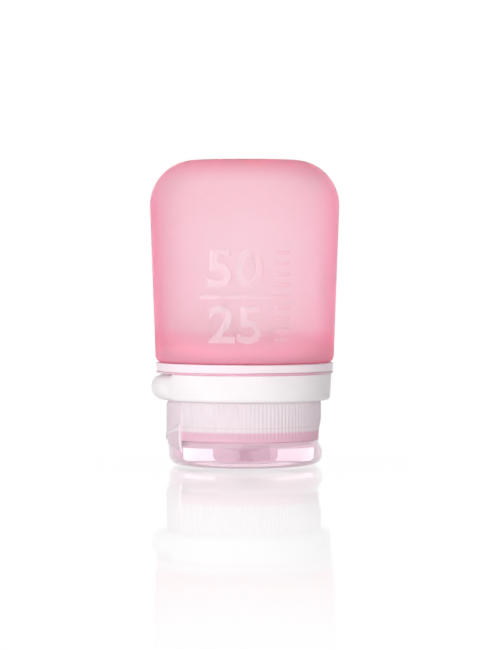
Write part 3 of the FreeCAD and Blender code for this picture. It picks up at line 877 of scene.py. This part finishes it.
# %% Turn the lid
LID_FLOOR = 1.4 * MM
LID_CORNER = 2.65 * MM
LID_DRAFT = 0.3 * MM
LID_EDGE = 0.3 * MM
LID_KNEE, LID_KNEE_ROUNDING = 4.7 * MM, 3.0 * MM
LID_INNER_CORNER = 1.0 * MM
LID_LOW_ROWS, LID_TOP_ROWS, LID_STEPS = 8, 6, 288

lid_radius = lid_high[1]
lid_rim = lid_high[2]
lid_inner = lid_radius - LID_WALL
wall_foot = (lid_radius - LID_DRAFT + LID_DRAFT * LID_CORNER / LID_KNEE, LID_CORNER)
wall_knee = (lid_radius, LID_KNEE)
wall_head = (lid_radius, lid_rim - LID_EDGE)
clear_lid = turn_on_lathe("clear_lid", [
    (0, 0, 0),
    (lid_radius - LID_DRAFT, 0, LID_CORNER),
    *split_run(wall_foot, wall_knee, LID_LOW_ROWS),
    (*wall_knee, LID_KNEE_ROUNDING),
    *split_run(wall_knee, wall_head, LID_TOP_ROWS)[1:],
    (lid_radius, lid_rim, LID_EDGE),
    (lid_inner, lid_rim, LID_EDGE / 2),
    (lid_inner - LID_DRAFT, LID_FLOOR, LID_INNER_CORNER),
    (0, LID_FLOOR, 0),
], full_turn(LID_STEPS), LID_OFFSET)

# %% Shape the lid's outer wall
LUG_ANGLE, LUG_DEPTH, LUG_RADIUS = 5.6, 0.9 * MM, 18.5 * MM
LUG_ANGLE_EASE, LUG_DEPTH_EASE = 0.8, 0.3 * MM
RECESS_SIDE = 60


def lid_wall(radius, angle, height):
    """The lid's outer wall with the thumb recess and the hinge lug; its axis is the lid's own."""
    if radius < lid_radius - LID_WALL / 2 or height < LID_CORNER / 2:
        return radius
    turn = math.radians(angle)
    if abs(angle) < RECESS_SIDE:
        seen_x, seen_y = LID_OFFSET + radius * math.cos(turn), radius * math.sin(turn)
        limit = recess_radius(math.degrees(math.atan2(seen_y, seen_x)), height)
        return radius - max(math.hypot(seen_x, seen_y) - limit, 0)
    lug = ease(180 - abs(angle), LUG_ANGLE + LUG_ANGLE_EASE, LUG_ANGLE)
    lug *= ease(height, lid_rim - LUG_DEPTH - LUG_DEPTH_EASE, lid_rim - LUG_DEPTH)
    return radius + lug * (LUG_RADIUS + LID_OFFSET - radius)


shape_wall(clear_lid, lid_wall, LID_OFFSET)
print("the lug reaches", round(LUG_RADIUS / MM, 2), "mm from the cap's axis")

# %% Turn the plug
PLUG_RADIUS, PLUG_WALL, PLUG_OVERLAP = 2.3 * MM, 0.9 * MM, 1.0 * MM
PLUG_STEPS = 64

plug_top = cap_low[2] + PLUG_OVERLAP
plug = turn_on_lathe("plug", [
    (PLUG_RADIUS - PLUG_WALL, LID_FLOOR + WELD, 0),
    (PLUG_RADIUS, LID_FLOOR + WELD, 0),
    (PLUG_RADIUS, plug_top, PLUG_WALL / 3),
    (PLUG_RADIUS - PLUG_WALL, plug_top, PLUG_WALL / 4),
], full_turn(PLUG_STEPS))

# %% [markdown]
# ## The snap hinge
# Two triangular wings and a thin strap join cap and lid. They are one moulding with both, so when the lid
# swings they must bend. Each wing is a small grid laid on the sloping wall and given its thickness. The
# same grid, a little larger and thicker, is the cutter for the shallow bed that each wing lies in.

# %% Lay out the wings
FILM_HALF = 1.8 * MM
WING_REACH, WING_RISE, WING_FALL, WING_TIP = 10.8 * MM, 3.3 * MM, 3.2 * MM, 0.1 * MM
WING_THICKNESS, WING_LEAN = 0.8 * MM, 0.03
WING_PROUD_TOP, WING_PROUD_LOW = 0.03 * MM, 0.1 * MM
WING_COLUMNS, WING_ROWS = 24, 28

hinge_joint = next(joint for joint in frame["joints"] if joint["name"] == "lid_hinge")
fold_x, fold_z = hinge_joint["pos_m"][0], hinge_joint["pos_m"][2]
wing_radius_top = skirt_radius + HINGE_PAD_HEIGHT + WING_PROUD_TOP
wing_radius_low = lid_radius - LID_OFFSET + WING_PROUD_LOW


def wing_edges(across, growth=0.0):
    """Heights of the wing's lower and upper edge at a share of its reach."""
    low = fold_z - growth - (WING_TIP + (WING_FALL - WING_TIP) * across)
    high = fold_z + growth + (WING_TIP + (WING_RISE - WING_TIP) * across)
    return low, high


def wing_plate(name, side, growth, outward, inward):
    """A wing's outline as a fine grid on the sloping wall, thickened outwards and inwards."""
    bpy.ops.object.select_all(action="DESELECT")
    bpy.ops.mesh.primitive_grid_add(x_subdivisions=WING_COLUMNS, y_subdivisions=WING_ROWS, size=1)
    plate = bpy.context.object
    plate.name = name
    for vertex in plate.data.vertices:
        across, up = vertex.co.x + 0.5, vertex.co.y + 0.5
        low, high = wing_edges(across, growth)
        y = FILM_HALF - growth + (WING_REACH - FILM_HALF + 2 * growth) * across
        z = low + (high - low) * up
        drop = (wing_radius_top - wing_radius_low) * ease(fold_z - z, 0, WING_FALL)
        radius = wing_radius_top + WING_LEAN * max(z - fold_z, 0) - drop + outward
        vertex.co = (-math.sqrt(radius ** 2 - y ** 2), side * y, z)
    select_only(plate)
    bpy.ops.object.mode_set(mode="EDIT")
    bpy.ops.mesh.select_all(action="SELECT")
    bpy.ops.mesh.normals_make_consistent(inside=False)
    bpy.ops.object.mode_set(mode="OBJECT")
    if plate.data.polygons[0].normal.x > 0:
        plate.data.flip_normals()
    apply_modifier(plate, "SOLIDIFY", thickness=outward + inward, offset=-1.0)
    return plate


print("the hinge folds at x, z mm:", round(fold_x / MM, 2), round(fold_z / MM, 2))

# %% Cut the beds
BED_GAP, BED_OUTWARD = -0.02 * MM, 1.0 * MM

for side in (1, -1):
    bed = wing_plate("bed", side, BED_GAP, BED_OUTWARD, WING_THICKNESS + BED_GAP)
    for walled in (cap_shell, clear_lid):
        apply_modifier(walled, "BOOLEAN", object=bed, operation="DIFFERENCE", solver="EXACT")
    bpy.data.objects.remove(bed)
select_only(clear_lid)
plug.select_set(True)
bpy.ops.object.join()
for walled in (cap_shell, clear_lid):
    smooth_faces(walled)
    print(walled.name, "with beds:", len(walled.data.polygons), "faces")
settle(cap_shell, "cap", "frosted_plastic", frosted_plastic, "cap_base")
settle(clear_lid, "lid", "clear_plastic", clear_plastic, "flip_lid")

# %% Wings and strap as one piece
WING_EDGE, WING_EDGE_ANGLE = 0.2 * MM, math.radians(50)
STRAP_CUTS = 14

film_low, film_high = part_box("hinge_film")
wings = [wing_plate("snap_hinge", side, 0.0, 0.0, WING_THICKNESS) for side in (1, -1)]
bpy.ops.object.select_all(action="DESELECT")
film_middle = [(a + b) / 2 for a, b in zip(film_low, film_high)]
bpy.ops.mesh.primitive_cube_add(size=1, location=film_middle)
strap = bpy.context.object
strap.scale = [b - a for a, b in zip(film_low, film_high)]
bpy.ops.object.transform_apply(location=True, rotation=True, scale=True)
bpy.ops.object.mode_set(mode="EDIT")
bpy.ops.mesh.select_all(action="SELECT")
bpy.ops.mesh.subdivide(number_cuts=STRAP_CUTS)
bpy.ops.object.mode_set(mode="OBJECT")
select_only(wings[0])
wings[1].select_set(True)
strap.select_set(True)
bpy.ops.object.join()
snap_hinge = wings[0]
apply_modifier(
    snap_hinge, "BEVEL", width=WING_EDGE, segments=2, limit_method="ANGLE", angle_limit=WING_EDGE_ANGLE)
smooth_faces(snap_hinge)
snap_hinge.data.materials.clear()
snap_hinge.data.materials.append(hinge_plastic)
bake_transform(snap_hinge)
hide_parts("hinge_wings", "hinge_film")
print("hinge:", len(snap_hinge.data.polygons), "faces, folds at z mm", round(fold_z / MM, 2))

# %% [markdown]
# ### Painted highlights on the hinge
# The wing's edges and the strap catch the light as bright lines, and these highlights are painted. A mask
# could be painted by hand, but the wing's own outline gives it: each point gets a value that is 1 on the
# edges and on a line beside the upper one, and the finish turns white and dense by that value.

# %% Whiten the edges
# Where the painted highlights lie on the wing, and how strong they are on the strap and at the free end.
RIM_LINES, RIM_LINE_WIDTH, RIM_END_WIDTH = (0.87, 1.0), 0.05, 0.05
STRAP_HIGHLIGHT, RIM_END_HIGHLIGHT = 0.8, 0.7


def painted_edge_highlight(spot):
    """How much painted highlight a point gets: 1 on the wing's free edge, its upper edge and the line
    beside that, and 0 on its flat.
    """
    across = (abs(spot.y) - FILM_HALF) / (WING_REACH - FILM_HALF)
    if across < 0:
        return STRAP_HIGHLIGHT
    low, high = wing_edges(across)
    up = (spot.z - low) / (high - low)
    lines = [1 - abs(up - line) / RIM_LINE_WIDTH for line in RIM_LINES]
    return max(0.0, *lines, RIM_END_HIGHLIGHT * (1 - abs(1 - across) / RIM_END_WIDTH))


# The bright edge lines are painted highlights: along them the colour turns white and the plastic stops
# letting light through.
rim = snap_hinge.data.attributes.new("rim", "FLOAT", "POINT")
rim.data.foreach_set("value", [painted_edge_highlight(vertex.co) for vertex in snap_hinge.data.vertices])
hinge_tree = hinge_plastic.node_tree
hinge_shader = shader_of(hinge_plastic)
highlight_mask = add_node(hinge_tree, "ShaderNodeAttribute", attribute_name="rim")
whiten = add_node(hinge_tree, "ShaderNodeMixRGB", {"Color2": (1, 1, 1, 1)})
thicken = add_node(hinge_tree, "ShaderNodeMapRange", {"To Min": HINGE_SHARE, "To Max": 0.0})
hinge_tree.links.new(highlight_mask.outputs["Fac"], whiten.inputs["Fac"])
hinge_tree.links.new(highlight_mask.outputs["Fac"], thicken.inputs["Value"])
hinge_tree.links.new(hinge_shader.inputs["Base Color"].links[0].from_socket, whiten.inputs["Color1"])
hinge_tree.links.new(whiten.outputs["Color"], hinge_shader.inputs["Base Color"])
hinge_tree.links.new(thicken.outputs["Result"], hinge_shader.inputs["Transmission Weight"])
print("hinge edges whitened along", len(RIM_LINES) + 1, "lines")

# %% [markdown]
# ## Seal and valve
# A flat silicone ring seals the neck against the cap, and a small silicone cup with a cross slit stops the
# bottle from dripping. Both are turned. The slit could be drawn with a dark line, but it is a real cut in
# the real part, so two thin blades cut it.

# %% Turn the seal
SEAL_CLEARANCE, SEAL_EDGE, SEAL_INNER_EDGE = 0.4 * MM, 0.2 * MM, 0.1 * MM
SEAL_STEPS = 128

seal_low, seal_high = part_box("cap_seal")
seal_inner = pocket_radius + POCKET_WALL + SEAL_CLEARANCE
seal_ring = turn_on_lathe("seal_ring", [
    (seal_inner, seal_low[2], SEAL_INNER_EDGE),
    (seal_high[0], seal_low[2], SEAL_EDGE),
    (seal_high[0], seal_high[2], SEAL_EDGE),
    (seal_inner, seal_high[2], SEAL_INNER_EDGE),
], full_turn(SEAL_STEPS))
smooth_faces(seal_ring)
settle(seal_ring, "seal", "pink_silicone", pink_silicone, "cap_seal")

# %% Turn the valve
VALVE_FLANGE, VALVE_SKIN, BOWL_GAP, BOWL_SLOPE = 0.8 * MM, 0.6 * MM, 0.3 * MM, 0.3 * MM
BOWL_EDGE, FLANGE_EDGE = 0.25 * MM, 0.15 * MM
VALVE_STEPS = 96

bowl = SPOUT_BORE - BOWL_GAP
flange_top = deck_top + VALVE_FLANGE
slit_valve = turn_on_lathe("slit_valve", [
    (0, valve_low[2], 0),
    (bowl - BOWL_SLOPE, valve_low[2], BOWL_EDGE),
    (bowl, deck_top, 0),
    (valve_high[0], deck_top, 0),
    (valve_high[0], flange_top, FLANGE_EDGE),
    (bowl - VALVE_SKIN, flange_top, BOWL_EDGE),
    (bowl - BOWL_SLOPE - VALVE_SKIN, valve_low[2] + VALVE_SKIN, BOWL_EDGE),
    (0, valve_low[2] + VALVE_SKIN, 0),
], full_turn(VALVE_STEPS))

# %% Cut its slit
SLIT_WIDTH, SLIT_LENGTH = 0.12 * MM, 2.6 * MM
BLADE_HEIGHT = 4 * VALVE_SKIN

for length, width in ((SLIT_LENGTH, SLIT_WIDTH), (SLIT_WIDTH, SLIT_LENGTH)):
    bpy.ops.object.select_all(action="DESELECT")
    bpy.ops.mesh.primitive_cube_add(size=1, location=(0, 0, valve_low[2]))
    blade = bpy.context.object
    blade.scale = (length, width, BLADE_HEIGHT)
    bpy.ops.object.transform_apply(location=True, rotation=True, scale=True)
    apply_modifier(slit_valve, "BOOLEAN", object=blade, operation="DIFFERENCE", solver="EXACT")
    bpy.data.objects.remove(blade)
smooth_faces(slit_valve)
settle(slit_valve, "cap", "clear_silicone", clear_silicone, "drip_valve")
print("slit mm:", round(SLIT_LENGTH / MM, 2), "by", round(SLIT_WIDTH / MM, 2))

# %% [markdown]
# ## Studio
# The picture is bright and almost without shadows. One large lamp and a white room would be the plain way,
# but silicone, milky plastic and clear plastic need different light: scattered, through the wall, or as a
# clean reflection. Cycles can hide a lamp from one kind of ray, so each lamp here does one of these jobs.

# %% Rays that see the white surround
def larger(tree, first, second):
    """The larger of two values."""
    either = add_node(tree, "ShaderNodeMath", operation="MAXIMUM")
    tree.links.new(first, either.inputs[0])
    tree.links.new(second, either.inputs[1])
    return either.outputs["Value"]


def mirrored_or_through(tree, path):
    """A value of 1 for rays from a reflection or through a wall, and 0 for other light."""
    return larger(tree, path.outputs["Is Glossy Ray"], path.outputs["Is Transmission Ray"])


def mix_shaders(tree, share, first, second):
    """Mixes two shader outputs by a value between 0 and 1."""
    mix = add_node(tree, "ShaderNodeMixShader")
    for k, socket in enumerate((share, first, second)):
        tree.links.new(socket, mix.inputs[k])
    return mix.outputs["Shader"]


print("ray helpers ready")

# %% [markdown]
# ### Floor
# The floor is white and mirrors the bottle faintly, less and less with the distance. A glossy floor alone
# would go grey away from the bottle, so it glows for the camera and has a polish only near the bottle. The
# polished pieces don't see it: their reflections are those of the lamps.

# %% Floor
FLOOR_SIZE = 6.0
FLOOR_GAP = 0.02 * MM
FLOOR_TONE, FLOOR_ROUGHNESS = 0.93, 0.045

bpy.ops.object.select_all(action="DESELECT")
bpy.ops.mesh.primitive_plane_add(size=FLOOR_SIZE, location=(0, 0, -FLOOR_GAP))
floor = bpy.context.object
floor.name = "floor"
floor_finish, floor_tree, _ = new_finish("floor")
matte = add_node(floor_tree, "ShaderNodeBsdfDiffuse", {"Color": (FLOOR_TONE, FLOOR_TONE, FLOOR_TONE, 1)})
glow = add_node(floor_tree, "ShaderNodeEmission", {"Color": (1, 1, 1, 1), "Strength": 1.0})
gloss = add_node(floor_tree, "ShaderNodeBsdfGlossy", {"Color": (1, 1, 1, 1), "Roughness": FLOOR_ROUGHNESS})
floor_path = add_node(floor_tree, "ShaderNodeLightPath")
place = add_node(floor_tree, "ShaderNodeTexCoord")
away = add_node(floor_tree, "ShaderNodeVectorMath", operation="LENGTH")
floor_tree.links.new(place.outputs["Object"], away.inputs[0])
print("floor:", FLOOR_SIZE, "m square")

# %% Mix the floor's finish
FLOOR_GLOW = 0.25
WHITE_NEAR, WHITE_FAR, WHITE_SHARES = 0.022, 0.07, (0.97, 1.0)
POLISH_NEAR, POLISH_FAR, POLISH_SHARES = 0.04, 0.33, (0.42, 0.02)


def fade_for_camera(near, far, at_near, at_far):
    """A share that changes with the distance from the bottle for the camera, and is 0 for other rays."""
    fade = add_node(floor_tree, "ShaderNodeMapRange", {
        "From Min": near, "From Max": far, "To Min": at_near, "To Max": at_far})
    seen = add_node(floor_tree, "ShaderNodeMath", operation="MULTIPLY")
    floor_tree.links.new(away.outputs["Value"], fade.inputs["Value"])
    floor_tree.links.new(fade.outputs["Result"], seen.inputs[0])
    floor_tree.links.new(floor_path.outputs["Is Camera Ray"], seen.inputs[1])
    return seen.outputs["Value"]


whiteness = larger(
    floor_tree, fade_for_camera(WHITE_NEAR, WHITE_FAR, *WHITE_SHARES),
    mirrored_or_through(floor_tree, floor_path))
polish = fade_for_camera(POLISH_NEAR, POLISH_FAR, *POLISH_SHARES)
lit = add_node(floor_tree, "ShaderNodeMath", {1: FLOOR_GLOW}, operation="MAXIMUM")
floor_tree.links.new(whiteness, lit.inputs[0])
plain_floor = mix_shaders(
    floor_tree, lit.outputs["Value"], matte.outputs["BSDF"], glow.outputs["Emission"])
polished_floor = mix_shaders(floor_tree, polish, plain_floor, gloss.outputs["BSDF"])
floor_tree.links.new(polished_floor, floor_tree.nodes["Material Output"].inputs["Surface"])
floor.data.materials.append(floor_finish)
floor.visible_glossy = False
print("the floor mirrors", POLISH_SHARES[0], "near the bottle and", POLISH_SHARES[1], "far away")

# %% [markdown]
# ### Surround
# A white room could be built from large planes. A world that answers by the kind of ray does the same: it
# is white where the camera, a reflection or light through a wall sees it, and dimmer as scattered light,
# so that the colours keep their level.

# %% Surround
FILL = 0.38

world = bpy.data.worlds.new("surround")
bpy.context.scene.world = world
world.use_nodes = True
surround = world.node_tree
dim = surround.nodes["Background"]
dim.inputs["Color"].default_value = (1, 1, 1, 1)
dim.inputs["Strength"].default_value = FILL
white = add_node(surround, "ShaderNodeBackground", {"Color": (1, 1, 1, 1), "Strength": 1.0})
path = add_node(surround, "ShaderNodeLightPath")
seen = larger(surround, path.outputs["Is Camera Ray"], mirrored_or_through(surround, path))
both = mix_shaders(surround, seen, dim.outputs["Background"], white.outputs["Background"])
surround.links.new(both, surround.nodes["World Output"].inputs["Surface"])
print("surround: white to look at,", FILL, "as scattered light")

# %% [markdown]
# ### Lamps
# Two cards at the sides make the lid's bright panes, and a low and a high card show in softer reflections.
# The front lamp gives the scattered light, and a broad one beside it only the light that has gone through
# a wall, as does the lamp at the back. A weak side lamp and a lamp behind the bottle light the opaque
# pieces from there. One more is linked to the soft body alone and lifts its right side.

# %% Lamps
# Each row: name, azimuth, elevation, distance, width, height, watts, and the rays that don't see the lamp
LAMPS = (
    ("card_left", -79.0, -20.5, 1.0, 1.09, 0.45, 6.8, ("diffuse", "transmission")),
    ("card_right", 86.0, -20.5, 1.0, 1.49, 0.45, 6.8, ("diffuse", "transmission")),
    ("front", -15.0, 7.0, 1.2, 1.0, 0.32, 9.9, ("glossy", "transmission")),
    ("front_through", -15.0, 10.0, 1.2, 2.4, 1.4, 10.0, ("camera", "diffuse", "glossy")),
    ("card_low", 0.0, -87.0, 1.0, 2.0, 0.8, 9.0, ("camera", "diffuse", "transmission")),
    ("card_top", 0.0, 50.0, 1.0, 1.6, 0.6, 8.0, ("camera", "diffuse", "transmission")),
    ("glow_right", 80.0, 8.0, 1.0, 0.8, 0.6, 0.9, ("camera", "glossy")),
    ("back", 135.0, 6.0, 1.0, 0.8, 0.5, 2.2, ("camera", "diffuse", "glossy")),
    ("side", -85.0, 10.0, 1.0, 0.6, 0.6, 1.2, ("glossy",)),
    ("behind", 165.0, 12.0, 1.0, 0.8, 0.5, 3.5, ("camera", "glossy", "transmission")),
)
print("lamps:", len(LAMPS))

# %% Place the lamps
def direction(azimuth, elevation):
    """From the bottle outwards: azimuth turns to the right from the camera, elevation upwards."""
    turn, rise = math.radians(azimuth), math.radians(elevation)
    return Vector((math.sin(turn) * math.cos(rise), -math.cos(turn) * math.cos(rise), math.sin(rise)))


def hide_from(holder, kinds):
    """Makes an object invisible to some kinds of rays."""
    for kind in kinds:
        setattr(holder, "visible_" + kind, False)


def softbox(name, azimuth, elevation, distance, width, height, watts, hidden_from):
    """A rectangular soft light aimed at the bottle's middle."""
    outwards = direction(azimuth, elevation)
    lamp = bpy.data.lights.new(name, "AREA")
    lamp.shape = "RECTANGLE"
    lamp.size, lamp.size_y, lamp.energy = width, height, watts
    holder = bpy.data.objects.new(name, lamp)
    bpy.context.scene.collection.objects.link(holder)
    holder.location = outwards * distance + Vector((0, 0, end_z / 2))
    holder.rotation_euler = outwards.to_track_quat("Z", "Y").to_euler()
    hide_from(holder, hidden_from)
    print(name, "at", azimuth, "degrees,", watts, "W")
    return holder


lamps = {row[0]: softbox(*row) for row in LAMPS}
body_only = bpy.data.collections.new("lit_by_glow")
body_only.objects.link(soft_body)
lamps["glow_right"].light_linking.receiver_collection = body_only

# %% [markdown]
# ### A dark flag
# Clear plastic in an all-white room looks empty. A photographer would hold a dark card, a flag, beside the
# lens, so that something dark is mirrored too. Ours shows in reflections only.

# %% A dark flag in front
FLAG_AZIMUTH, FLAG_ELEVATION, FLAG_DISTANCE = 14.0, -14.0, 0.5
FLAG_WIDTH, FLAG_HEIGHT, FLAG_TONE = 0.4, 0.23, 0.02

bpy.ops.object.select_all(action="DESELECT")
bpy.ops.mesh.primitive_plane_add(size=1)
flag = bpy.context.object
flag.name = "flag"
flag.scale = (FLAG_WIDTH, FLAG_HEIGHT, 1)
towards_flag = direction(FLAG_AZIMUTH, FLAG_ELEVATION)
flag.location = towards_flag * FLAG_DISTANCE
flag.rotation_euler = towards_flag.to_track_quat("Z", "Y").to_euler()
flag_finish, _, flag_shader = new_finish("flag")
flag_shader.inputs["Base Color"].default_value = (FLAG_TONE, FLAG_TONE, FLAG_TONE, 1)
flag.data.materials.append(flag_finish)
hide_from(flag, ("camera", "diffuse", "transmission", "shadow"))
print("flag:", FLAG_WIDTH, "by", FLAG_HEIGHT, "m")

# %% [markdown]
# ## Camera
# The photograph looks almost level at the bottle through a long lens, so a picture's height is a size at
# the object: 0.24 mm for each of its 649 pixel rows. The lens follows from that height and the distance.

# %% Set up the view
PIXEL, PICTURE_ROWS = 0.24 * MM, 649
SENSOR_WIDTH = 36.0
CAMERA_DISTANCE = 0.75
CAMERA_RISE = math.radians(1.39)
MIDDLE_X, MIDDLE_Z = -0.28 * MM, 33.6 * MM

eye = bpy.data.cameras.new("eye")
eye.sensor_width = SENSOR_WIDTH
eye.lens = SENSOR_WIDTH * CAMERA_DISTANCE / (PICTURE_ROWS * PIXEL)
camera = bpy.data.objects.new("camera", eye)
bpy.context.scene.collection.objects.link(camera)
camera.location = (
    MIDDLE_X,
    -CAMERA_DISTANCE * math.cos(CAMERA_RISE),
    MIDDLE_Z + CAMERA_DISTANCE * math.sin(CAMERA_RISE))
camera.rotation_euler = (math.pi / 2 - CAMERA_RISE, 0, 0)
bpy.context.scene.camera = camera
bpy.context.scene.view_settings.view_transform = "Standard"
print("lens mm:", round(eye.lens, 1))
